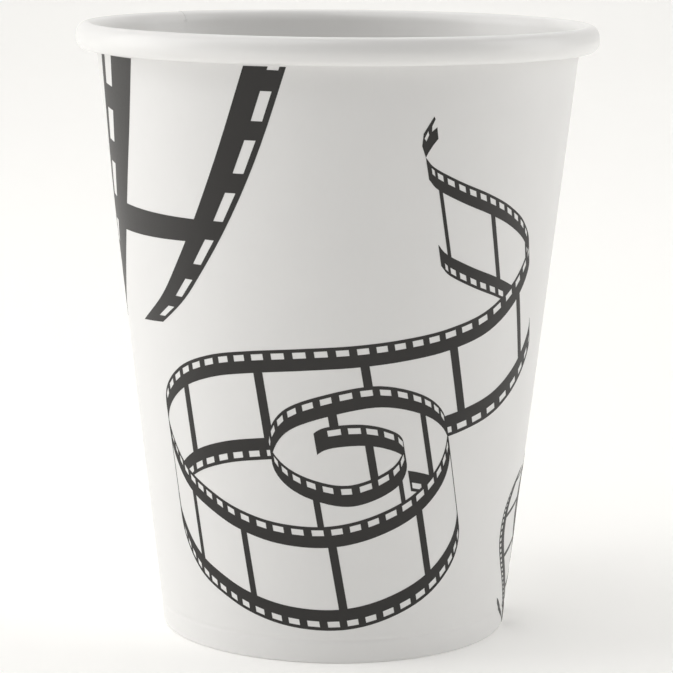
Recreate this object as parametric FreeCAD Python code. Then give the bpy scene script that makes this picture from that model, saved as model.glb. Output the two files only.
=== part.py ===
"""A printed paper cup: a rolled side wall, a recessed base disc and the dark print on the wall.

Millimetres, +Z up. The origin is on the cup's axis, on the plane that the base rim stands on.
The front of the cup faces -Y.
"""

import FreeCAD, Part

import math
import os

from FreeCAD import Vector

# The cup's outline
cup_height = 94.0
rim_diameter = 80.0
base_diameter = 53.5

# The board and how it is folded
wall_board = 0.35
base_board = 0.35
roll_height = 4.2
roll_width = 3.237
roll_turns = 1.08
roll_gap = 0.1
roll_tuck_start = 215.0
roll_tuck_end = 325.0
hem_clearance = 0.1
base_flat = 0.35
base_recess = 4.2
base_bend_radius = 0.8

# The glued side seam, where one end of the wall blank laps over the other
seam_direction = 150.0
seam_lap = 7.0
seam_ramp = 4.0

# The print, laid out on the unrolled wall: x runs right from the front, y up from the base edge
ink_thickness = 0.05
ink_top_clearance = 0.15

# The long coiled film: its top edge, one point for every half frame. It ends before the last point,
# which steers how the edge bends down at the film's inner end. Each hole shift stands at a frame.
coil_edge = [
    (13.0, 76.9), (14.6, 75.2), (19.1, 72.7), (24.0, 70.4), (28.6, 67.8), (32.4, 64.6),
    (34.1, 60.6), (30.9, 56.1), (24.7, 52.6), (17.1, 50.9), (10.1, 50.1), (3.1, 49.5), (-4.8, 48.9),
    (-12.8, 47.9), (-19.6, 46.3), (-25.5, 43.4), (-29.2, 39.1), (-29.1, 34.6), (-27.2, 30.5),
    (-24.2, 27.3), (-19.7, 25.0), (-15.0, 23.2), (-8.8, 21.9), (-1.4, 21.7), (5.4, 23.1), (12.0, 26.0),
    (16.3, 30.2), (17.6, 34.8), (16.3, 38.9), (12.3, 41.8), (5.9, 43.3), (-1.6, 42.0), (-7.6, 39.4),
    (-9.9, 35.2), (-8.2, 31.6), (-3.7, 29.1), (2.6, 28.2), (9.1, 31.0), (9.9, 35.3), (3.9, 37.5),
    (-3.1, 36.1), (-1.0, 30.0),
]
coil_first_frame = -0.5
coil_last_frame = 19.5
coil_width = (2.83, -16.3)
coil_holes_per_frame = 5
coil_hole_shifts = [
    (0.0, 0.14), (1.6, 0.07), (3.5, 0.6), (4.2, 0.45), (6.5, 0.36), (7.3, 0.15), (9.0, 0.08),
    (9.4, -0.12), (10.2, 0.3), (11.5, 0.32), (12.6, 0.0), (13.4, 0.0), (14.0, -0.28), (16.3, -0.39),
    (17.6, -0.12), (18.0, -0.25), (18.5, -0.68), (19.0, -0.82), (19.5, -1.05),
]

# The small film at the right, cut off by the base edge
curl_edge = [
    (38.4, 22.9), (35.6, 21.6), (33.2, 19.6), (31.8, 17.2), (31.3, 13.8), (32.1, 10.4), (33.5, 7.2),
    (35.0, 4.0), (36.4, 0.8), (37.6, -2.4), (38.6, -5.5),
]
curl_first_frame = -0.5
curl_last_frame = 4.5
curl_width = (9.0, 1.6)
curl_holes_per_frame = 7
curl_hole_shifts = [(-0.5, 0.2), (4.5, 0.2)]

# How a film is divided, as shares of its width and of its frame
film_band = 0.2
film_hole_near = 0.031
film_hole_far = 0.087
film_hole_length = 0.6
film_bar = 0.092
least_hole = 0.25

# How finely a film's turns are found and its edges drawn, in frames
search_step = 0.05
turn_step = 0.002
turn_trim = 0.02
halvings = 20
points_per_frame = 8

# How finely curves are drawn on the roll and on the wall, and how often the taper is worked out
roll_points = 40
wrap_length = 6.0
wrap_steps_per_mm = 2.0
wrap_least_steps = 3
wrap_side = 162.0
offset_tolerance = 0.001
taper_rounds = 6

# The torn, twisted end above the coil
tail_outline = [
    (13.0, 76.9), (12.4, 78.6), (12.6, 80.4), (13.4, 81.6), (14.2, 82.8), (14.4, 82.4), (13.9, 81.4),
    (13.9, 80.6), (14.3, 80.9), (14.7, 81.2), (14.9, 79.5), (14.1, 78.6), (13.4, 77.6),
]
tail_hole = [(12.75, 79.7), (13.03, 79.25), (13.45, 80.15), (13.31, 80.75)]

# The large strip at the upper left, from the rim down to its torn end
strip_right_outer = [
    (-6.9, 91.5), (-10.7, 79.7), (-14.4, 70.5), (-18.9, 61.9), (-24.4, 53.9), (-29.5, 49.3),
]
strip_right_inner = [
    (-13.2, 91.5), (-17.1, 79.5), (-20.6, 70.2), (-24.5, 61.7), (-29.4, 53.6), (-35.1, 48.3),
]
strip_left_inner = [
    (-34.8, 91.5), (-36.4, 79.8), (-38.2, 70.5), (-40.5, 61.1), (-43.7, 52.0), (-47.6, 45.0),
]
strip_left_outer = [
    (-46.8, 91.5), (-47.2, 79.8), (-47.9, 70.5), (-49.3, 61.1), (-51.2, 52.0), (-53.6, 44.0),
]
strip_right_holes = [
    (0.0, 0.16), (0.41, 0.78), (1.04, 1.57), (1.91, 2.42), (2.77, 3.25), (3.55, 3.95), (4.28, 4.72),
]
strip_left_holes = [(0.33, 0.74), (1.08, 1.62), (2.0, 2.58), (3.0, 3.4), (3.75, 4.1)]
strip_hole_sides = (0.15, 0.42)
strip_bar = [(-41.0, 65.3), (-20.0, 66.6), (-22.0, 63.1), (-42.0, 60.9)]

# The dark end of another strip, at the lower right
leaf_outline = [(32.3, 3.9), (33.1, 3.2), (35.0, 0.8), (37.4, -2.0), (34.2, 0.6), (32.5, 2.9)]


# Places on the wall

base_radius = base_diameter / 2
rim_radius = rim_diameter / 2
roll_half_width = roll_width / 2
roll_half_height = roll_height / 2
roll_centre_height = cup_height - roll_half_height


def taper_to_roll():
    """How far the wall leans out per millimetre up, so that its inner face runs on into the roll."""
    taper = (rim_radius - base_radius) / cup_height
    for taper_round in range(taper_rounds):
        roll_room = roll_half_width + math.hypot(roll_half_width, taper * roll_half_height)
        lean = rim_radius - roll_room + wall_board * math.hypot(1, taper) - base_radius
        taper = lean / roll_centre_height
    return taper


wall_taper = taper_to_roll()
tilt = math.atan(wall_taper)
apex_distance = base_radius / math.sin(tilt)


def wall_place(depth, up):
    """Radius and height of a point `depth` inside the wall's outer face and `up` along it."""
    radius = base_radius + up * math.sin(tilt) - depth * math.cos(tilt)
    height = up * math.cos(tilt) + depth * math.sin(tilt)
    return Vector(radius, 0, height)


def wall_radius(height, depth=0.0):
    """Radius at a height of the cone that lies `depth` inside the wall's outer face."""
    return base_radius + height * wall_taper - depth / math.cos(tilt)


def line(start, end):
    return Part.makeLine(start, end)


def revolve(edges, angle=360):
    """One solid, turned about the cup's axis from a closed profile."""
    profile = Part.Face(Part.Wire(edges))
    solid = profile.revolve(Vector(0, 0, 0), Vector(0, 0, 1), angle)
    if solid.Volume < 0:
        solid.reverse()
    return solid


# The side wall, with its roll and hem

hem_layers = 2 * wall_board + base_board
fold_radius = hem_layers / 2
flat_angle = math.acos(base_flat / 2 / fold_radius)
fold_up = fold_radius * (math.sin(flat_angle) - math.sin(tilt)) / math.cos(tilt)
bend_reach = (base_bend_radius - base_board) / math.tan(math.pi / 4 - tilt / 2)
hem_up = base_recess / math.cos(tilt) - bend_reach - hem_clearance
roll_start = math.atan(wall_taper * roll_half_height / roll_half_width)


def roll_place(turn, depth):
    """A point on the roll: `turn` runs from the inner side, over the top, out, down and inward."""
    tuck_start = math.radians(roll_tuck_start)
    tuck_end = math.radians(roll_tuck_end)
    share = min(max((turn - tuck_start) / (tuck_end - tuck_start), 0), 1)
    tuck = (wall_board + roll_gap) * (1 - math.cos(math.pi * share)) / 2
    half_width = roll_half_width - tuck - depth
    half_height = roll_half_height - tuck - depth
    radius = rim_radius - roll_half_width - half_width * math.cos(turn)
    return Vector(radius, 0, roll_centre_height + half_height * math.sin(turn))


def roll_curve(depth, first_point):
    """One face of the rolled board, as a smooth curve that starts on the wall."""
    roll_end = roll_start + 2 * math.pi * roll_turns
    step = (roll_end - roll_start) / roll_points
    turns = [roll_start + step * (index + 1) for index in range(roll_points)]
    curve = Part.BSplineCurve()
    curve.interpolate([first_point] + [roll_place(turn, depth) for turn in turns])
    return curve.toShape()


def fold_place(angle, radius):
    """A point round the middle of the hem's layers, by its angle down from outward."""
    return wall_place(fold_radius, fold_up) + Vector(math.cos(angle), 0, -math.sin(angle)) * radius


def fold_arc(start, end, radius):
    return Part.Arc(*[fold_place(angle, radius) for angle in (start, (start + end) / 2, end)]).toShape()


def on_wall_cone(height, depth):
    return Vector(wall_radius(height, depth), 0, height)


def side_wall():
    start_height = roll_place(roll_start, 0).z
    roll_outer = roll_curve(0, on_wall_cone(start_height, wall_board))
    roll_inner = roll_curve(wall_board, on_wall_cone(start_height, 0))
    profile = [
        line(wall_place(0, fold_up), roll_inner.Vertexes[0].Point),
        roll_inner,
        line(roll_inner.Vertexes[-1].Point, roll_outer.Vertexes[-1].Point),
        roll_outer,
        line(roll_outer.Vertexes[0].Point, wall_place(wall_board, fold_up)),
        fold_arc(tilt, math.pi + tilt, base_board / 2),
        line(wall_place(wall_board + base_board, fold_up), wall_place(wall_board + base_board, hem_up)),
        line(wall_place(wall_board + base_board, hem_up), wall_place(hem_layers, hem_up)),
        line(wall_place(hem_layers, hem_up), wall_place(hem_layers, fold_up)),
        fold_arc(math.pi + tilt, math.pi - flat_angle, fold_radius),
        line(fold_place(math.pi - flat_angle, fold_radius), fold_place(flat_angle, fold_radius)),
        fold_arc(flat_angle, tilt, fold_radius),
    ]
    wall = revolve(profile)
    return wall.fuse(seam()).removeSplitter()


# The side seam

seam_top = (cup_height - roll_height + wall_board) / math.cos(tilt)
seam_root = wall_board / 2
mean_radius = wall_radius(cup_height / 2)
lap_angle = math.degrees(seam_lap / mean_radius)
ramp_angle = math.degrees(seam_ramp / mean_radius)
front_angle = -90.0


def turn_about_axis(shape, angle):
    shape.rotate(Vector(0, 0, 0), Vector(0, 0, 1), angle)
    return shape


def above_slope():
    """What lies outside the sloping end of the lap, which comes down beside the inner layer's end."""
    low_crest = wall_place(-wall_board, fold_up)
    high_crest = wall_place(-wall_board, seam_top)
    foot = FreeCAD.Rotation(Vector(0, 0, 1), -ramp_angle).multVec(wall_place(0, seam_top / 2))
    along_crest = (high_crest - low_crest).normalize() * seam_ramp
    down_slope = foot - low_crest
    down_slope = down_slope - along_crest * (down_slope.dot(along_crest) / seam_ramp ** 2)
    corners = [
        low_crest - along_crest - down_slope / 2,
        high_crest + along_crest - down_slope / 2,
        high_crest + along_crest + down_slope * 3,
        low_crest - along_crest + down_slope * 3,
    ]
    outward = along_crest.cross(down_slope)
    if outward.x < 0:
        outward = outward * -1
    return Part.Face(Part.makePolygon(corners + corners[:1])).extrude(outward)


def seam():
    """The part of the lap where the board lies double, from its cut edge to its sloping end."""
    corners = [
        wall_place(seam_root, fold_up),
        wall_place(-wall_board, fold_up),
        wall_place(-wall_board, seam_top),
        wall_place(seam_root, seam_top),
    ]
    edges = [line(corners[index - 1], corners[index]) for index in range(4)]
    lap = turn_about_axis(revolve(edges, lap_angle + ramp_angle), -ramp_angle)
    return turn_about_axis(lap.cut(above_slope()), front_angle - seam_direction)


# The base disc

def rounded_corner(before, corner, after, radius):
    """The arc that rounds a corner, with its start and end."""
    to_before = (before - corner).normalize()
    to_after = (after - corner).normalize()
    half_angle = math.acos(to_before.dot(to_after)) / 2
    reach = radius / math.tan(half_angle)
    middle = (to_before + to_after).normalize()
    start = corner + to_before * reach
    end = corner + to_after * reach
    nearest = corner + middle * (radius / math.sin(half_angle) - radius)
    return Part.Arc(start, nearest, end).toShape(), start, end


def base_disc():
    skirt_outer = wall_board
    skirt_inner = wall_board + base_board
    top = base_recess + base_board
    skirt_foot_outer = wall_place(skirt_outer, fold_up)
    skirt_foot_inner = wall_place(skirt_inner, fold_up)
    top_middle = Vector(0, 0, top)
    low_middle = Vector(0, 0, base_recess)
    outer_bend, outer_start, outer_end = rounded_corner(
        top_middle, on_wall_cone(top, skirt_outer), skirt_foot_outer, base_bend_radius)
    inner_bend, inner_start, inner_end = rounded_corner(
        low_middle, on_wall_cone(base_recess, skirt_inner), skirt_foot_inner, base_bend_radius - base_board)
    profile = [
        line(top_middle, outer_start),
        outer_bend,
        line(outer_end, skirt_foot_outer),
        line(skirt_foot_outer, skirt_foot_inner),
        line(skirt_foot_inner, inner_end),
        inner_bend,
        line(inner_start, low_middle),
        line(low_middle, top_middle),
    ]
    return revolve(profile)


# The print, drawn flat

def flat(point):
    return Vector(point[0], point[1], 0)


def flat_face(points):
    corners = [flat(point) for point in points]
    return Part.Face(Part.makePolygon(corners + corners[:1]))


def smooth_edge(points):
    curve = Part.BSplineCurve()
    curve.interpolate([flat(point) for point in points])
    return curve.toShape()


def along(points, place):
    """A point on the smooth line through evenly numbered points, at a place such as 2.5."""
    last = len(points) - 1
    index = min(max(int(math.floor(place)), 0), last - 1)
    part = place - index
    here = flat(points[index])
    after = flat(points[index + 1])
    before = flat(points[index - 1]) if index > 0 else here * 2 - after
    beyond = flat(points[index + 2]) if index + 2 <= last else after * 2 - here
    slope = (after - before) * 0.5
    next_slope = (beyond - here) * 0.5
    bend = (after - here) * 3 - slope * 2 - next_slope
    twist = (here - after) * 2 + slope + next_slope
    return here + slope * part + bend * part ** 2 + twist * part ** 3


class Film:
    """A film of constant width that winds across the wall and hides what lies behind it."""

    def __init__(self, edge, first_frame, last_frame, width, holes_per_frame, hole_shifts):
        self.edge = edge
        self.first_frame = first_frame
        self.last_frame = last_frame
        self.width = flat(width)
        self.holes_per_frame = holes_per_frame
        self.hole_shifts = hole_shifts

    def place(self, frame, across=0.0):
        """The point at a frame number, a share `across` of the width from the film's first edge."""
        return along(self.edge, 2 * (frame - self.first_frame)) + self.width * across

    def sideways(self, frame):
        """How far the film's edge has gone square to its width."""
        point = self.place(frame)
        return (point.x * self.width.y - point.y * self.width.x) / self.width.Length

    def advance(self, frame):
        """How fast the film goes sideways there: its sign changes where the film turns back."""
        return self.sideways(frame + turn_step) - self.sideways(frame - turn_step)

    def runs(self):
        """The stretches between two turns, as the film is followed."""
        ends = [self.first_frame]
        count = int((self.last_frame - self.first_frame) / search_step)
        frames = [self.first_frame + search_step * (index + 1) for index in range(count - 1)]
        for low, high in zip(frames[:-1], frames[1:]):
            if self.advance(low) * self.advance(high) < 0:
                for halving in range(halvings):
                    middle = (low + high) / 2
                    if self.advance(low) * self.advance(middle) < 0:
                        high = middle
                    else:
                        low = middle
                ends += [low - turn_trim, low + turn_trim]
        ends.append(self.last_frame)
        return list(zip(ends[0::2], ends[1::2]))

    def height(self, run):
        """How high a run lies, seen along the film's width: what lies higher is farther off."""
        return -self.place((run[0] + run[1]) / 2).dot(self.width)

    def ribbon(self, run, near, far):
        """A stretch of the film between two shares of its width, as a flat face."""
        first, last = self.one_way(run)
        steps = max(2, round(points_per_frame * abs(last - first)))
        frames = [first + (last - first) * step / steps for step in range(steps + 1)]
        near_edge = smooth_edge([self.place(frame, near) for frame in frames])
        far_edge = smooth_edge([self.place(frame, far) for frame in frames])
        start = line(self.place(first, near), self.place(first, far))
        end = line(self.place(last, near), self.place(last, far))
        return Part.Face(Part.Wire([near_edge, end, far_edge, start]))

    def one_way(self, run):
        """The ends of a stretch in the order that turns every face of the film the same way."""
        return sorted(run, key=self.sideways)

    def cell(self, start, end, near, far):
        first, last = self.one_way((start, end))
        corners = [(first, near), (last, near), (last, far), (first, far)]
        return flat_face([self.place(frame, across) for frame, across in corners])

    def hole_start(self, number):
        """The frame at which a perforation starts: each shift gives way evenly to the next."""
        frame = number / self.holes_per_frame
        for before, after in zip(self.hole_shifts[:-1], self.hole_shifts[1:]):
            if frame <= after[0]:
                break
        shift = before[1] + (after[1] - before[1]) * (frame - before[0]) / (after[0] - before[0])
        return (number + shift) / self.holes_per_frame

    def holes(self, run):
        """The perforations of a run, in both of its bands."""
        cells = []
        length = film_hole_length / self.holes_per_frame
        first = math.floor(run[0] * self.holes_per_frame)
        last = math.ceil(run[1] * self.holes_per_frame)
        for number in range(first, last + 1):
            start = self.hole_start(number)
            end = start + length
            if start < run[0] or end > run[1]:
                continue
            if abs(self.sideways(end) - self.sideways(start)) < least_hole:
                continue
            cells.append(self.cell(start, end, film_hole_near, film_hole_far))
            cells.append(self.cell(start, end, 1 - film_hole_far, 1 - film_hole_near))
        return cells

    def bars(self, run):
        """The dark bars between the frames of a run, each to the right of its frame's end."""
        to_right = self.place(run[1]).x > self.place(run[0]).x
        length = film_bar if to_right else -film_bar
        overlap = film_band / 2
        bars = []
        for number in range(math.ceil(run[0]), math.floor(run[1]) + 1):
            if run[0] < number + length < run[1]:
                bars.append(self.cell(number, number + length, overlap, 1 - overlap))
        return bars

    def ink(self):
        """All that is dark and in sight, painted from the farthest run to the nearest."""
        drawn = None
        for run in sorted(self.runs(), key=self.height, reverse=True):
            bands = [self.ribbon(run, 0, film_band), self.ribbon(run, 1 - film_band, 1)]
            dark = bands[0].fuse(bands[1:] + self.bars(run)).cut(self.holes(run))
            if drawn is None:
                drawn = dark
            else:
                drawn = drawn.cut([self.ribbon(run, 0, 1)]).fuse([dark])
        return drawn.removeSplitter()


def tail():
    """The twisted, torn end of the coiled film."""
    return flat_face(tail_outline).cut(flat_face(tail_hole))


def strip_band(outer, inner, holes):
    """One perforated band of the large strip."""
    places = [index / 2 for index in range(2 * len(outer) - 1)]
    outer_edge = smooth_edge([along(outer, place) for place in places])
    inner_edge = smooth_edge([along(inner, place) for place in places])
    foot = line(flat(outer[-1]), flat(inner[-1]))
    head = line(flat(outer[0]), flat(inner[0]))
    band = Part.Face(Part.Wire([outer_edge, foot, inner_edge, head]))
    cells = []
    for start, end in holes:
        corners = []
        for place, share in ((start, 0), (start, 1), (end, 1), (end, 0)):
            across = strip_hole_sides[share]
            corners.append(along(outer, place) * (1 - across) + along(inner, place) * across)
        cells.append(flat_face(corners))
    return band.cut(cells)


def large_strip():
    right = strip_band(strip_right_outer, strip_right_inner, strip_right_holes)
    left = strip_band(strip_left_outer, strip_left_inner, strip_left_holes)
    return right.fuse([left, flat_face(strip_bar)])


def printable_area():
    """The part of the unrolled wall that shows between the base fold and the rim roll."""
    centre = Vector(0, -apex_distance, 0)
    low = apex_distance + fold_up
    high = apex_distance + (cup_height - roll_height - ink_top_clearance) / math.cos(tilt)
    outer = Part.Face(Part.Wire(Part.makeCircle(high, centre)))
    return outer.cut(Part.Face(Part.Wire(Part.makeCircle(low, centre))))


def flat_print():
    coil = Film(
        coil_edge, coil_first_frame, coil_last_frame, coil_width, coil_holes_per_frame, coil_hole_shifts)
    curl = Film(
        curl_edge, curl_first_frame, curl_last_frame, curl_width, curl_holes_per_frame, curl_hole_shifts)
    drawn = coil.ink().fuse([tail(), large_strip(), curl.ink(), flat_face(leaf_outline)])
    return drawn.common(printable_area()).removeSplitter()


# The print, wrapped on the wall

half_turn = math.pi


def wrapped_place(point):
    """Turn about the axis, from the back, and distance up the wall of a point on the unrolled wall."""
    reach = point.y + apex_distance
    turn = math.atan2(point.x, reach) / math.sin(tilt)
    return FreeCAD.Base.Vector2d(half_turn + turn, math.hypot(point.x, reach) - apex_distance)


def wrapped_edges(edge, cone):
    """An edge of the flat print on the wall, in short lengths that each keep their shape."""
    lengths = math.ceil(edge.Length / wrap_length)
    steps = wrap_least_steps + int(wrap_steps_per_mm * edge.Length / lengths)
    places = [wrapped_place(point) for point in edge.discretize(Number=lengths * steps + 1)]
    wrapped = []
    for start in range(0, lengths * steps, steps):
        curve = Part.Geom2d.BSplineCurve2d()
        curve.interpolate(places[start:start + steps + 1])
        wrapped.append(curve.toShape(cone))
    return wrapped


def ink_solid(face):
    """A thin layer of ink on the wall, with the outline of a flat face: unrolling keeps its area."""
    cone = Part.Cone(Vector(0, 0, 0), Vector(0, 0, cup_height), base_radius, wall_radius(cup_height))
    side = math.radians(wrap_side)
    patch = cone.toShape(half_turn - side, half_turn + side, 0, cup_height)
    outline = [length for edge in face.Edges for length in wrapped_edges(edge, cone)]
    pieces = patch.generalFuse(outline)[0].Faces
    skin = min(pieces, key=lambda piece: abs(piece.Area - face.Area))
    return skin.makeOffsetShape(ink_thickness, offset_tolerance, fill=True)


def film_strip_print():
    solids = [ink_solid(face) for face in flat_print().Faces]
    ink = Part.Compound(solids)
    ink.rotate(Vector(0, 0, 0), Vector(0, 0, 1), 180)
    return ink


parts = {
    "side_wall": side_wall,
    "base_disc": base_disc,
    "film_strip_print": film_strip_print,
}

os.makedirs("parts", exist_ok=True)
for name, make in parts.items():
    shape = make()
    shape.exportStep("parts/" + name + ".step")
    print(name, len(shape.Solids), "solid", round(shape.Volume, 2), "mm3", "valid", shape.isValid())
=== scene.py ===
"""A printed paper cup for hot drinks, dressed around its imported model, on a pale studio floor."""

import math
from collections import namedtuple

import bmesh
import bpy
from mathutils import Matrix, Vector


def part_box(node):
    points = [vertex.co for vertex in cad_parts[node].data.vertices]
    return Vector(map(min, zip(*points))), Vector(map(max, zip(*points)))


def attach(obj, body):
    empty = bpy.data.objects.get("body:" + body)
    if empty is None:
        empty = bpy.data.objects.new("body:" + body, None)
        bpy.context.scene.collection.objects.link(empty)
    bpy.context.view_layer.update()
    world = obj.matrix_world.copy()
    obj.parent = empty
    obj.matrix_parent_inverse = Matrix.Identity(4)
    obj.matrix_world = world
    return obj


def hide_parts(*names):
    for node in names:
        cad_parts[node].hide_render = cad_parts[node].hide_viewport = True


bl_info = {
    "name": "Paper cup",
    "version": (1, 0, 0),
    "blender": (4, 5, 0),
    "location": "View3D > Sidebar > Paper cup",
    "description": "Makes the board, base, print and studio of a printed paper cup",
    "category": "Object",
}

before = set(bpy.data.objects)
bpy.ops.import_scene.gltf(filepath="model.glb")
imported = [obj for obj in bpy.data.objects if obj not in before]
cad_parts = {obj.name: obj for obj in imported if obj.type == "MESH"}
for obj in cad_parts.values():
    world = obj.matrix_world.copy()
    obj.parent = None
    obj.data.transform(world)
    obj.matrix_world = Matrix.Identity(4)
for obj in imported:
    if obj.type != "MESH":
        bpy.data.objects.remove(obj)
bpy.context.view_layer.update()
WALL_LOW, WALL_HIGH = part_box("side_wall")
DISC_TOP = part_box("base_disc")[1].z
MM = 0.001
BOARD = 0.35 * MM


# What a user can change

class CupSizes(bpy.types.PropertyGroup):
    """The sizes of the cup and of its folded board."""

    rim_diameter: bpy.props.FloatProperty(
        name="Rim diameter", description="Across the outside of the rolled rim",
        default=WALL_HIGH.x - WALL_LOW.x, unit="LENGTH")
    cup_height: bpy.props.FloatProperty(
        name="Height", description="From the base rim to the top of the roll",
        default=WALL_HIGH.z, unit="LENGTH")
    base_diameter: bpy.props.FloatProperty(
        name="Base diameter", description="Across the wall's outer face, carried down to the table",
        default=53.5 * MM, unit="LENGTH")
    wall_taper: bpy.props.FloatProperty(
        name="Taper", description="How much the wall's radius grows for each unit of height",
        default=0.1126)
    board: bpy.props.FloatProperty(
        name="Board", description="Thickness of the cup board",
        default=BOARD, unit="LENGTH")
    roll_height: bpy.props.FloatProperty(
        name="Roll height", description="Height of the rolled rim",
        default=4.2 * MM, unit="LENGTH")
    roll_turns: bpy.props.FloatProperty(
        name="Roll turns", description="How many times the board goes round in the roll",
        default=1.08)
    roll_gap: bpy.props.FloatProperty(
        name="Roll gap", description="Gap between the board's two layers in the roll",
        default=0.1 * MM, unit="LENGTH")
    base_flat: bpy.props.FloatProperty(
        name="Base flat", description="Width of the ring under the fold that rests on the table",
        default=0.35 * MM, unit="LENGTH")
    base_bend: bpy.props.FloatProperty(
        name="Base bend", description="Radius of the bend round the base disc's edge",
        default=0.8 * MM, unit="LENGTH")
    hem_height: bpy.props.FloatProperty(
        name="Hem height", description="Height of the board folded in and up round the disc's skirt",
        default=3.6 * MM, unit="LENGTH")
    base_recess: bpy.props.FloatProperty(
        name="Base recess", description="Height of the base disc's underside above the table",
        default=DISC_TOP - BOARD, unit="LENGTH")
    base_dish: bpy.props.FloatProperty(
        name="Base dish", description="How far the middle of the base disc sinks",
        default=0.25 * MM, unit="LENGTH")
    crease_height: bpy.props.FloatProperty(
        name="Crease height", description="Height of the line pressed in the wall at the hem's top",
        default=3.7 * MM, unit="LENGTH")
    crease_depth: bpy.props.FloatProperty(
        name="Crease depth", description="How deep that line is pressed",
        default=0.09 * MM, unit="LENGTH")
    out_of_round: bpy.props.FloatProperty(
        name="Out of round", description="How far the rim strays from a circle",
        default=0.12 * MM, unit="LENGTH")
    ink_rise: bpy.props.FloatProperty(
        name="Ink rise", description="How far the ink stands on the board",
        default=0.03 * MM, unit="LENGTH")


class SeamSizes(bpy.types.PropertyGroup):
    """The glued side seam."""

    direction: bpy.props.FloatProperty(
        name="Direction", description="Where the seam starts, turned from +X",
        default=math.radians(120), subtype="ANGLE")
    lap: bpy.props.FloatProperty(
        name="Lap", description="Width of the stretch where the board lies double",
        default=7.0 * MM, unit="LENGTH")
    ramp: bpy.props.FloatProperty(
        name="Ramp", description="Width of the slope beside the inner layer's end",
        default=4.0 * MM, unit="LENGTH")


class CupColours(bpy.types.PropertyGroup):
    """The colours of the board and of the ink."""

    board: bpy.props.FloatVectorProperty(
        name="Board", description="White coated face of the board",
        default=(0.83, 0.826, 0.818), subtype="COLOR", min=0, max=1)
    lining: bpy.props.FloatVectorProperty(
        name="Lining", description="Film-coated inner face of the board",
        default=(0.88, 0.876, 0.866), subtype="COLOR", min=0, max=1)
    cut_edge: bpy.props.FloatVectorProperty(
        name="Cut edge", description="Bare fibres at the ends of the board",
        default=(0.72, 0.69, 0.63), subtype="COLOR", min=0, max=1)
    ink: bpy.props.FloatVectorProperty(
        name="Ink", description="Warm black printing ink",
        default=(0.009, 0.0075, 0.0062), subtype="COLOR", min=0, max=1)


class StudioSettings(bpy.types.PropertyGroup):
    """The camera, the floor and the light."""

    camera_distance: bpy.props.FloatProperty(
        name="Camera distance", description="From the cup's axis to the lens",
        default=424.8 * MM, unit="LENGTH")
    camera_side: bpy.props.FloatProperty(
        name="Camera side", description="How far the lens stands to the right of the cup's middle",
        default=0.15 * MM, unit="LENGTH")
    camera_height: bpy.props.FloatProperty(
        name="Camera height", description="Height of the lens above the floor",
        default=117.4 * MM, unit="LENGTH")
    camera_pitch: bpy.props.FloatProperty(
        name="Camera pitch", description="How far the camera looks down",
        default=math.radians(9.66), subtype="ANGLE")
    camera_roll: bpy.props.FloatProperty(
        name="Camera roll", description="How far the camera leans sideways",
        default=math.radians(0.49), subtype="ANGLE")
    lens: bpy.props.FloatProperty(
        name="Lens", description="Focal length in millimetres, on a sensor 36 mm wide",
        default=147.45, subtype="DISTANCE_CAMERA")
    floor: bpy.props.FloatVectorProperty(
        name="Floor", description="Colour of the floor and backdrop",
        default=(0.9, 0.895, 0.88), subtype="COLOR", min=0, max=1)
    room_light: bpy.props.FloatProperty(
        name="Room light", description="Strength of the light from all round",
        default=0.13)
    top_light: bpy.props.FloatProperty(
        name="Top light", description="Power of the softbox overhead",
        default=5.0, unit="POWER")
    back_light: bpy.props.FloatProperty(
        name="Back light", description="Power of the softbox that lights the backdrop",
        default=13.0, unit="POWER")
    floor_glow: bpy.props.FloatProperty(
        name="Floor glow", description="How strongly the light table under the paper shines through it",
        default=0.17)
    low_light: bpy.props.FloatProperty(
        name="Low light", description="Power of the strip light low in front of the cup",
        default=0.04, unit="POWER")
    side_light: bpy.props.FloatProperty(
        name="Side light", description="Power of each softbox beside the cup",
        default=2.7, unit="POWER")


# Shader maths

class Term:
    """A shader value in an expression: each operator adds a Math node."""

    def __init__(self, graph, socket):
        self.graph = graph
        self.socket = socket

    def math(self, operation, first, second):
        return self.graph.node("ShaderNodeMath", {"operation": operation}, {0: first, 1: second})

    def __add__(self, other):
        return self.math("ADD", self, other)

    def __radd__(self, other):
        return self.math("ADD", other, self)

    def __mul__(self, other):
        return self.math("MULTIPLY", self, other)

    def __rmul__(self, other):
        return self.math("MULTIPLY", other, self)


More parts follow.
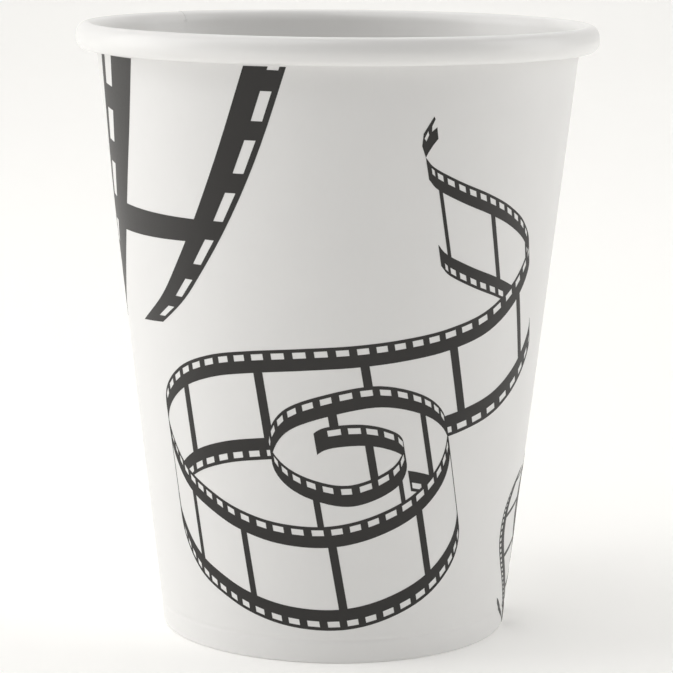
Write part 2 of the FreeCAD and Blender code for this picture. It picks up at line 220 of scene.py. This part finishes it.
class Graph:
    """The nodes of one material, around its Principled shader."""

    def __init__(self, name, constants):
        self.material = bpy.data.materials.new(name)
        self.material.use_nodes = True
        self.tree = self.material.node_tree
        self.shader = self.tree.nodes["Principled BSDF"]
        for socket, value in constants.items():
            self.shader.inputs[socket].default_value = value

    def node(self, kind, settings=None, inputs=None, output=0):
        """A node with its settings, then the values or links of its sockets."""
        node = self.tree.nodes.new(kind)
        for setting, value in (settings or {}).items():
            setattr(node, setting, value)
        for socket, value in (inputs or {}).items():
            if isinstance(value, Term):
                self.tree.links.new(value.socket, node.inputs[socket])
            else:
                node.inputs[socket].default_value = value
        return Term(self, node.outputs[output])

    def place(self):
        return self.node("ShaderNodeTexCoord", output="Object")

    def noise(self, size, detail=2.0, roughness=0.5, stretch=None):
        """Noise from 0 to 1 with features of one size, in metres, or stretched along an axis."""
        where = self.place()
        if stretch:
            where = self.node("ShaderNodeVectorMath", {"operation": "MULTIPLY"}, {0: where, 1: stretch})
        inputs = {"Vector": where, "Scale": 1 / size, "Detail": detail, "Roughness": roughness}
        return self.node("ShaderNodeTexNoise", inputs=inputs, output="Fac")

    def mixed(self, share, first, second):
        """Two colours, mixed by a value from 0 to 1."""
        return self.node(
            "ShaderNodeMix", {"data_type": "RGBA"},
            {"Factor": share, 6: (*first, 1), 7: (*second, 1)}, output=2)

    def feed(self, socket, term):
        self.tree.links.new(term.socket, self.shader.inputs[socket])

    def tint(self, share, colour, darkest, lightest):
        """Feed the base colour: one colour made darker or lighter, by a value from 0 to 1."""
        self.feed("Base Color", self.mixed(share, shade(colour, darkest), shade(colour, lightest)))

    def bump(self, height, strength, distance):
        inputs = {"Height": height, "Strength": strength, "Distance": distance}
        self.feed("Normal", self.node("ShaderNodeBump", inputs=inputs, output="Normal"))


def shade(colour, factor):
    """A colour made darker or lighter."""
    return tuple(channel * factor for channel in colour)


def board_material(colours):
    """Coated white board: faint clouds of fibre under a satin face."""
    graph = Graph("coated_board", {"IOR": 1.46, "Coat Weight": 0.12, "Coat Roughness": 0.28})
    clouds = graph.noise(6 * MM, detail=3)
    fibres = graph.noise(0.45 * MM, detail=4, roughness=0.65, stretch=(1, 1, 0.45))
    mottle = clouds * 0.6 + fibres * 0.4
    graph.tint(mottle, colours.board, 0.965, 1.02)
    graph.feed("Roughness", 0.42 + fibres * 0.12)
    graph.bump(fibres + clouds * 0.6, 0.16, 0.03 * MM)
    return graph.material


def lining_material(colours):
    """The inner face, under a thin clear film: smoother than the outside."""
    graph = Graph("lined_board", {"IOR": 1.5, "Coat Weight": 0.25, "Coat Roughness": 0.2})
    clouds = graph.noise(5 * MM, detail=3)
    fibres = graph.noise(0.6 * MM, detail=3, roughness=0.6, stretch=(1, 1, 0.5))
    mottle = clouds * 0.7 + fibres * 0.3
    graph.tint(mottle, colours.lining, 0.97, 1.015)
    graph.feed("Roughness", 0.34 + fibres * 0.1)
    graph.bump(fibres * 0.5 + clouds, 0.12, 0.03 * MM)
    return graph.material


def edge_material(colours):
    """The board's cut ends: bare fibres in thin layers."""
    graph = Graph("cut_board", {"Roughness": 0.85, "IOR": 1.4})
    fibres = graph.noise(0.12 * MM, detail=4, roughness=0.7)
    graph.tint(fibres, colours.cut_edge, 0.8, 1.15)
    graph.bump(fibres, 0.5, 0.03 * MM)
    return graph.material


def ink_material(colours):
    """Solid black ink: a little uneven where the board under it took it up."""
    graph = Graph("printed_ink", {"IOR": 1.48, "Coat Weight": 0.1, "Coat Roughness": 0.3})
    clouds = graph.noise(4 * MM, detail=3)
    grain = graph.noise(0.35 * MM, detail=4, roughness=0.7)
    uptake = clouds * 0.5 + grain * 0.5
    graph.tint(uptake, colours.ink, 0.75, 1.6)
    graph.feed("Roughness", 0.4 + grain * 0.14)
    graph.bump(grain + clouds * 0.5, 0.14, 0.03 * MM)
    return graph.material


def floor_material(studio):
    """Matt white paper on a light table."""
    glow = {"Emission Color": (*studio.floor, 1), "Emission Strength": studio.floor_glow}
    graph = Graph("studio_paper", {"Roughness": 0.9, "Specular IOR Level": 0.1, **glow})
    clouds = graph.noise(180 * MM)
    graph.tint(clouds, studio.floor, 0.99, 1.0)
    return graph.material


# The cup's outline

# The stretch of the roll where the board slips inside its own first round
TUCK_START = math.radians(215)
TUCK_END = math.radians(325)

# Layers of board in the hem: the wall, the disc's skirt and the wall's turned-in end
HEM_LAYERS = 3

# How wide the crease is, and how far the wall below it stands out, as a share of its depth
CREASE_WIDTH = 0.28 * MM
CREASE_BELOW = 0.35

# How the section strays from round: where its oval points, and the lesser waves round the wall
OVAL_TURN = 0.7
WAVE_COUNT = 5
WAVE_SHARE = 0.22
WAVE_TURN = 1.1
WAVE_TWIST = 2.4
WAVE_FADE = 1.15


class Outline:
    """Where the faces of the board lie, worked out from the sizes."""

    def __init__(self, sizes, seam):
        self.sizes = sizes
        self.board = sizes.board
        self.height = sizes.cup_height
        self.rim_radius = sizes.rim_diameter / 2
        self.base_radius = sizes.base_diameter / 2
        self.taper = sizes.wall_taper
        self.tilt = math.atan(self.taper)
        self.fold_radius = HEM_LAYERS / 2 * self.board
        flat_angle = math.acos(sizes.base_flat / 2 / self.fold_radius)
        self.fold_up = self.fold_radius * (math.sin(flat_angle) - math.sin(self.tilt)) / math.cos(self.tilt)
        self.roll_half_height = sizes.roll_height / 2
        self.roll_height = self.height - self.roll_half_height
        room = self.rim_radius - self.cone(self.roll_height, self.board)
        self.roll_half_width = (room - (self.taper * self.roll_half_height) ** 2 / room) / 2
        self.roll_start = math.atan(self.taper * self.roll_half_height / self.roll_half_width)
        mean_radius = self.cone(self.height / 2)
        self.seam_start = seam.direction
        self.lap_angle = seam.lap / mean_radius
        self.ramp_angle = seam.ramp / mean_radius

    def cone(self, height, depth=0.0):
        """Radius at a height of the face that lies `depth` inside the wall's outer face."""
        return self.base_radius + height * self.taper - depth / math.cos(self.tilt)

    def on_wall(self, up, depth):
        """The place `up` along the wall and `depth` inside its outer face, as radius and height."""
        radius = self.base_radius + up * math.sin(self.tilt) - depth * math.cos(self.tilt)
        return Vector((radius, up * math.cos(self.tilt) + depth * math.sin(self.tilt)))

    def on_roll(self, turn, depth):
        """The place on the roll at a turn from its inner side, over the top, out, down and inward."""
        share = min(max((turn - TUCK_START) / (TUCK_END - TUCK_START), 0), 1)
        tuck = (self.board + self.sizes.roll_gap) * (1 - math.cos(math.pi * share)) / 2
        half_width = self.roll_half_width - tuck - depth
        half_height = self.roll_half_height - tuck - depth
        radius = self.rim_radius - self.roll_half_width - half_width * math.cos(turn)
        return Vector((radius, self.roll_height + half_height * math.sin(turn)))

    def lap(self, angle):
        """How much of a second layer lies there: 1 in the lap, sloping off on one side only."""
        along = (angle - self.seam_start + math.pi) % (2 * math.pi) - math.pi
        if 0 <= along <= self.lap_angle:
            return 1.0
        if -self.ramp_angle < along < 0:
            return 1 + along / self.ramp_angle
        return 0.0

    def crease(self, height):
        """How far the wall moves out where the hem ends behind it: in at the crease, out below it."""
        away = (height - self.sizes.crease_height) / CREASE_WIDTH
        below = 1 / (1 + math.exp(away))
        return self.sizes.crease_depth * (CREASE_BELOW * below - math.exp(-away * away))

    def sway(self, angle, height):
        """How far the whole section strays from round, least at the base."""
        share = max(height, 0) / self.height
        oval = math.cos(2 * angle - OVAL_TURN) * share
        turn = WAVE_COUNT * angle + WAVE_TURN + WAVE_TWIST * share
        waves = WAVE_SHARE * math.sin(turn) * share * (WAVE_FADE - share)
        return self.sizes.out_of_round * (oval + waves)


def spread(first, last, count):
    """Evenly spaced values, both ends included."""
    return [first + (last - first) * step / (count - 1) for step in range(count)]


OUTSIDE, LINING, CUT = range(3)

SectionPoint = namedtuple("SectionPoint", "place face layer creased")


class Section:
    """A closed section of board: its points, and how each one moves round the cup."""

    def __init__(self):
        self.points = []

    def add(self, place, face, layer=None, creased=False):
        """A point, the face that starts there, the way a second layer moves it, and if the crease does."""
        self.points.append(SectionPoint(place, face, layer or Vector((0, 0)), creased))

    def end_board(self):
        """The board ends at the last point, so the face that starts there is its cut edge."""
        self.points[-1] = SectionPoint(self.points[-1].place, CUT, Vector((0, 0)), False)


# Points along the wall's section: close together up to a height, then wider, and round its folds
CLOSE_TO = 5.2 * MM
CLOSE_POINTS = 34
WIDE_POINTS = 40
ROLL_INNER_POINTS = 28
ROLL_OUTER_POINTS = 66
LINING_POINTS = 34
FOLD_INNER_POINTS = 8
FOLD_OUTER_POINTS = 14
HEM_INNER_POINTS = 6
HEM_OUTER_POINTS = 10

# How soon the seam's second layer stands at its full thickness, from the fold and from the roll
SEAM_FOOT = 0.8 * MM
SEAM_HEAD = 0.6 * MM

# How much of a board the seam lifts the roll, and the turn of the roll over which that sets in
ROLL_BULGE = 0.16
BULGE_TURN = 0.6


def wall_section(outline):
    """The side wall, with its roll at the top and its hem at the foot."""
    section = Section()
    board = outline.board
    slope = outline.tilt
    outward = Vector((math.cos(slope), -math.sin(slope))) * board
    top = outline.on_roll(outline.roll_start, 0).y / math.cos(slope)
    rises = spread(outline.fold_up, CLOSE_TO, CLOSE_POINTS) + spread(CLOSE_TO, top, WIDE_POINTS)[1:]
    for up in rises:
        settled = min((up - outline.fold_up) / SEAM_FOOT, 1) * min((top - up) / SEAM_HEAD, 1)
        section.add(outline.on_wall(up, 0), OUTSIDE, outward * settled, True)
    end = outline.roll_start + 2 * math.pi * outline.sizes.roll_turns
    for turn in spread(outline.roll_start, end, ROLL_INNER_POINTS)[1:]:
        section.add(outline.on_roll(turn, board), OUTSIDE)
    section.end_board()
    for turn in spread(end, outline.roll_start, ROLL_OUTER_POINTS):
        bulge = Vector((-math.cos(turn), math.sin(turn))) * board * ROLL_BULGE
        settled = min(max((turn - outline.roll_start) / BULGE_TURN, 0), 1)
        section.add(outline.on_roll(turn, 0), LINING, bulge * settled)
    for up in spread(top, outline.fold_up, LINING_POINTS)[1:]:
        section.add(outline.on_wall(up, board), LINING)
    centre = outline.on_wall(outline.fold_up, outline.fold_radius)
    for angle in spread(slope, math.pi + slope, FOLD_INNER_POINTS)[1:-1]:
        section.add(centre + Vector((math.cos(angle), -math.sin(angle))) * board / 2, LINING)
    hem_top = outline.sizes.hem_height
    for up in spread(outline.fold_up, hem_top, HEM_INNER_POINTS):
        section.add(outline.on_wall(up, (HEM_LAYERS - 1) * board), LINING)
    section.end_board()
    for up in spread(hem_top, outline.fold_up, HEM_OUTER_POINTS):
        section.add(outline.on_wall(up, HEM_LAYERS * board), OUTSIDE)
    for angle in spread(math.pi + slope, slope, FOLD_OUTER_POINTS)[1:-1]:
        place = centre + Vector((math.cos(angle), -math.sin(angle))) * outline.fold_radius
        place.y = max(place.y, 0.0)
        section.add(place, OUTSIDE)
    return section


# Points along the base disc's section. It starts this far from the axis, which leaves a small hole
FLAT_POINTS = 46
BEND_OUTER_POINTS = 9
BEND_INNER_POINTS = 8
DISC_START = 0.2 * MM

# The dish: how far inside the edge it starts, in bends, and how its depth is shared out
DISH_BENDS = 1.15
DISH_CURVE = 0.9
DISH_POWER = 4
DISH_CONE = 0.1

# The low ring pressed round the dish, as shares of the dish's radius and of its depth
RING_PLACE = 0.86
RING_RISE = 0.35
RING_WIDTH = 0.9 * MM

# How much of its radius each face of the bend keeps
BEND_OUTER_SHARE = 0.985
BEND_INNER_SHARE = 0.98


def disc_section(outline):
    """Half the base disc's section: the dished top, the skirt and the underside."""
    section = Section()
    sizes = outline.sizes
    board = outline.board
    low = sizes.base_recess
    bend = sizes.base_bend
    edge = outline.cone(low + board, board)
    inner = edge - DISH_BENDS * bend
    corner = Vector((edge - bend, low + board - bend))

    def dish(radius):
        share = min(radius / inner, 1)
        ring = math.exp(-((radius - RING_PLACE * inner) / RING_WIDTH) ** 2)
        curve = DISH_CURVE * share ** DISH_POWER - 1 + RING_RISE * ring
        return sizes.base_dish * curve + sizes.base_dish * DISH_CONE * share

    def round_corner(angle, radius):
        return corner + Vector((math.cos(angle), math.sin(angle))) * radius

    for radius in spread(DISC_START, inner, FLAT_POINTS):
        section.add(Vector((radius, low + board + dish(radius))), LINING)
    for angle in spread(math.pi / 2, -outline.tilt, BEND_OUTER_POINTS)[1:]:
        section.add(round_corner(angle, bend * BEND_OUTER_SHARE), LINING)
    section.add(outline.on_wall(outline.fold_up, board), CUT)
    section.add(outline.on_wall(outline.fold_up, 2 * board), OUTSIDE)
    for angle in spread(-outline.tilt, math.pi / 2, BEND_INNER_POINTS):
        section.add(round_corner(angle, (bend - board) * BEND_INNER_SHARE), OUTSIDE)
    for radius in spread(inner, DISC_START, FLAT_POINTS):
        section.add(Vector((radius, low + dish(radius))), OUTSIDE)
    return section


# From which difference in the lap on two columns are on either side of its cut edge
CUT_STEP = 0.9

# The angles between faces from which an edge is drawn sharp, in degrees
SHARP_BOARD = 35
SHARP_INK = 30


def turned_piece(name, section, outline, angles, materials, laps):
    """A mesh turned from a closed section, with the seam and the crease pressed into it."""
    count = len(section.points)
    vertices = []
    for angle in angles:
        lap = outline.lap(angle) if laps else 0.0
        for point in section.points:
            radius, height = point.place + point.layer * lap
            radius += outline.sway(angle, height)
            if point.creased:
                radius += outline.crease(height)
            vertices.append((radius * math.cos(angle), radius * math.sin(angle), height))
    faces = []
    kinds = []
    for column in range(len(angles)):
        beside = (column + 1) % len(angles)
        here = column * count
        after = beside * count
        step = laps and abs(outline.lap(angles[column]) - outline.lap(angles[beside])) > CUT_STEP
        for row, point in enumerate(section.points):
            below = (row + 1) % count
            faces.append((here + row, after + row, after + below, here + below))
            kinds.append(CUT if step and point.face == OUTSIDE and point.creased else point.face)
    mesh = bpy.data.meshes.new(name)
    mesh.from_pydata(vertices, [], faces)
    for material in materials:
        mesh.materials.append(material)
    mesh.polygons.foreach_set("material_index", kinds)
    return finished(name, mesh, SHARP_BOARD)


def finished(name, mesh, sharp_degrees):
    """The mesh as an object, outward faces, smooth but for its sharp edges."""
    shaped = bmesh.new()
    shaped.from_mesh(mesh)
    bmesh.ops.recalc_face_normals(shaped, faces=shaped.faces)
    for edge in shaped.edges:
        edge.smooth = not edge.is_manifold or edge.calc_face_angle(0) < math.radians(sharp_degrees)
    for face in shaped.faces:
        face.smooth = True
    shaped.to_mesh(mesh)
    shaped.free()
    piece = bpy.data.objects.new(name, mesh)
    bpy.context.scene.collection.objects.link(piece)
    return piece


WALL_COLUMNS = 396
BASE_COLUMNS = 240

# Half the gap between the two columns at the seam's cut edge, and the room kept round them
EDGE_HALF_GAP = math.radians(0.02)
COLUMN_ROOM = math.radians(0.25)


def column_angles(outline):
    """The directions of the wall's columns, with extra ones at the seam's edge and slope."""
    edge = outline.seam_start + outline.lap_angle
    slope_end = outline.seam_start - outline.ramp_angle
    extra = [edge - EDGE_HALF_GAP, edge + EDGE_HALF_GAP, outline.seam_start, slope_end]
    even = [2 * math.pi * step / WALL_COLUMNS for step in range(WALL_COLUMNS)]
    kept = [angle for angle in even if all(abs(angle - other) > COLUMN_ROOM for other in extra)]
    return sorted(kept + extra)


def settings():
    scene = bpy.context.scene
    return scene.cup_sizes, scene.cup_seam, scene.cup_colours


def shared_material(name, make, argument):
    """The material of that name, made once."""
    return bpy.data.materials.get(name) or make(argument)


def board_materials(colours):
    return [
        shared_material("coated_board", board_material, colours),
        shared_material("lined_board", lining_material, colours),
        shared_material("cut_board", edge_material, colours),
    ]


# The pieces

class MakeWall(bpy.types.Operator):
    """Make the side wall with its rolled rim, seam and hem"""

    bl_idname = "paper_cup.make_wall"
    bl_label = "Side wall"

    def execute(self, context):
        sizes, seam, colours = settings()
        outline = Outline(sizes, seam)
        angles = column_angles(outline)
        section = wall_section(outline)
        wall = turned_piece("cup_wall", section, outline, angles, board_materials(colours), True)
        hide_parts("side_wall")
        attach(wall, "root")
        return {"FINISHED"}


class MakeBase(bpy.types.Operator):
    """Make the recessed base disc with its skirt"""

    bl_idname = "paper_cup.make_base"
    bl_label = "Base disc"

    def execute(self, context):
        sizes, seam, colours = settings()
        outline = Outline(sizes, seam)
        angles = spread(0, 2 * math.pi, BASE_COLUMNS + 1)[:-1]
        section = disc_section(outline)
        base = turned_piece("cup_base", section, outline, angles, board_materials(colours), False)
        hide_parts("base_disc")
        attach(base, "root")
        return {"FINISHED"}


# The print's mesh: which corners are one, which lie on its outer face, and how finely it is divided
SAME_CORNER = 0.001 * MM
OUTER_FACE = 0.025 * MM
LONGEST_EDGE = 0.9 * MM
HALVINGS = 6

# How deep the ink's lower face sinks into the board
INK_SINK = 0.01 * MM


class MakePrint(bpy.types.Operator):
    """Lay the film-strip print on the side wall"""

    bl_idname = "paper_cup.make_print"
    bl_label = "Print"

    def execute(self, context):
        sizes, seam, colours = settings()
        outline = Outline(sizes, seam)
        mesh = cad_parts["film_strip_print"].data.copy()
        layout = bmesh.new()
        layout.from_mesh(mesh)
        bmesh.ops.remove_doubles(layout, verts=layout.verts, dist=SAME_CORNER)
        outer = layout.verts.layers.float.new("outer")
        for vertex in layout.verts:
            proud = math.hypot(vertex.co.x, vertex.co.y) - outline.cone(vertex.co.z)
            vertex[outer] = 1.0 if proud > OUTER_FACE else 0.0
        for halving in range(HALVINGS):
            long_edges = [edge for edge in layout.edges if edge.calc_length() > LONGEST_EDGE]
            if not long_edges:
                break
            bmesh.ops.subdivide_edges(layout, edges=long_edges, cuts=1)
            bmesh.ops.triangulate(layout, faces=layout.faces)
        for vertex in layout.verts:
            angle = math.atan2(vertex.co.y, vertex.co.x)
            height = vertex.co.z
            radius = outline.cone(height) + outline.sway(angle, height) + outline.crease(height)
            radius += sizes.ink_rise if vertex[outer] > 0.5 else -INK_SINK
            vertex.co = Vector((radius * math.cos(angle), radius * math.sin(angle), height))
        layout.to_mesh(mesh)
        layout.free()
        mesh.materials.clear()
        mesh.materials.append(shared_material("printed_ink", ink_material, colours))
        for polygon in mesh.polygons:
            polygon.material_index = 0
        ink = finished("film_print", mesh, SHARP_INK)
        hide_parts("film_strip_print")
        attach(ink, "root")
        return {"FINISHED"}


def soft_light(name, place, aim, width, height, power):
    """A softbox that faces a point, `width` by `height`."""
    lamp = bpy.data.lights.new(name, "AREA")
    lamp.shape = "RECTANGLE"
    lamp.size = width
    lamp.size_y = height
    lamp.energy = power
    lamp.color = WARM_WHITE
    light = bpy.data.objects.new(name, lamp)
    light.location = place
    light.rotation_euler = (Vector(aim) - Vector(place)).to_track_quat("-Z", "Y").to_euler()
    bpy.context.scene.collection.objects.link(light)


# The sheet of paper that is floor and backdrop, in metres
SHEET_FRONT = -4.5
SHEET_BACK = 1.6
SHEET_BEND = 0.5
SHEET_TOP = 2.4
SHEET_SIDE = 4.0
BEND_POINTS = 18

# The left softbox over the right one, in power
LEFT_SHARE = 1.25

# The camera's sensor in millimetres, and how near to the lens it sees, in metres
SENSOR_WIDTH = 36
NEAREST_SEEN = 0.01
WARM_WHITE = (1, 0.99, 0.975)
ROOM_WHITE = (1, 0.995, 0.985, 1)


class MakeStudio(bpy.types.Operator):
    """Make the floor, the backdrop, the light and the camera"""

    bl_idname = "paper_cup.make_studio"
    bl_label = "Studio"

    def execute(self, context):
        studio = context.scene.cup_studio
        self.floor(studio)
        self.lights(studio)
        self.camera(studio)
        context.scene.view_settings.view_transform = "Standard"
        return {"FINISHED"}

    def floor(self, studio):
        """One sheet of paper that runs along the floor and up behind the cup."""
        bend_start = SHEET_BACK - SHEET_BEND
        line = [(SHEET_FRONT, 0.0), (bend_start, 0.0)]
        for turn in spread(0, math.pi / 2, BEND_POINTS)[1:]:
            rise = SHEET_BEND - SHEET_BEND * math.cos(turn)
            line.append((bend_start + SHEET_BEND * math.sin(turn), rise))
        line.append((SHEET_BACK, SHEET_TOP))
        vertices = [(side * SHEET_SIDE, along, height) for along, height in line for side in (-1, 1)]
        faces = [(2 * row, 2 * row + 1, 2 * row + 3, 2 * row + 2) for row in range(len(line) - 1)]
        mesh = bpy.data.meshes.new("studio_floor")
        mesh.from_pydata(vertices, [], faces)
        mesh.materials.append(floor_material(studio))
        for polygon in mesh.polygons:
            polygon.use_smooth = True
        floor = bpy.data.objects.new("studio_floor", mesh)
        bpy.context.scene.collection.objects.link(floor)

    def lights(self, studio):
        world = bpy.data.worlds.new("studio_room")
        world.use_nodes = True
        room = world.node_tree.nodes["Background"]
        room.inputs["Color"].default_value = ROOM_WHITE
        room.inputs["Strength"].default_value = studio.room_light
        bpy.context.scene.world = world
        middle = (0, 0, 0.05)
        foot = (0, 0, 0.015)
        backdrop = (0, SHEET_BACK, 0.2)
        left_power = studio.side_light * LEFT_SHARE
        soft_light("top_softbox", (-0.4, -0.35, 1.15), middle, 0.9, 0.9, studio.top_light)
        soft_light("back_softbox", (0, 0.8, 1.5), backdrop, 2.4, 0.8, studio.back_light)
        soft_light("low_softbox", (0, -0.22, 0.02), foot, 0.4, 0.03, studio.low_light)
        soft_light("left_softbox", (-0.7, 0.03, 0.3), middle, 0.6, 0.8, left_power)
        soft_light("right_softbox", (0.75, 0.06, 0.3), middle, 0.5, 0.8, studio.side_light)

    def camera(self, studio):
        lens = bpy.data.cameras.new("studio_camera")
        lens.sensor_fit = "HORIZONTAL"
        lens.sensor_width = SENSOR_WIDTH
        lens.lens = studio.lens
        lens.clip_start = NEAREST_SEEN
        camera = bpy.data.objects.new("studio_camera", lens)
        level = Matrix.Rotation(math.pi / 2 - studio.camera_pitch, 4, "X")
        lean = Matrix.Rotation(studio.camera_roll, 4, "Z")
        place = Matrix.Translation((studio.camera_side, -studio.camera_distance, studio.camera_height))
        camera.matrix_world = place @ level @ lean
        bpy.context.scene.collection.objects.link(camera)
        bpy.context.scene.camera = camera


class CupPanel(bpy.types.Panel):
    """Lists the cup's pieces and its settings"""

    bl_label = "Paper cup"
    bl_idname = "VIEW3D_PT_paper_cup"
    bl_space_type = "VIEW_3D"
    bl_region_type = "UI"
    bl_category = "Paper cup"

    def draw(self, context):
        for piece in PIECES:
            self.layout.operator(piece.bl_idname)
        for name in SETTINGS:
            group = getattr(context.scene, name)
            for setting in group.bl_rna.properties:
                if setting.identifier not in ("rna_type", "name"):
                    self.layout.prop(group, setting.identifier)


PIECES = (MakeWall, MakeBase, MakePrint, MakeStudio)
SETTINGS = {
    "cup_sizes": CupSizes,
    "cup_seam": SeamSizes,
    "cup_colours": CupColours,
    "cup_studio": StudioSettings,
}


def register():
    for kind in (*SETTINGS.values(), *PIECES, CupPanel):
        bpy.utils.register_class(kind)
    for name, kind in SETTINGS.items():
        setattr(bpy.types.Scene, name, bpy.props.PointerProperty(type=kind))


def unregister():
    for name in SETTINGS:
        delattr(bpy.types.Scene, name)
    for kind in (CupPanel, *reversed(PIECES), *reversed(list(SETTINGS.values()))):
        bpy.utils.unregister_class(kind)


def main():
    register()
    bpy.ops.paper_cup.make_studio()
    bpy.ops.paper_cup.make_wall()
    bpy.ops.paper_cup.make_base()
    bpy.ops.paper_cup.make_print()


if __name__ == "__main__":
    main()
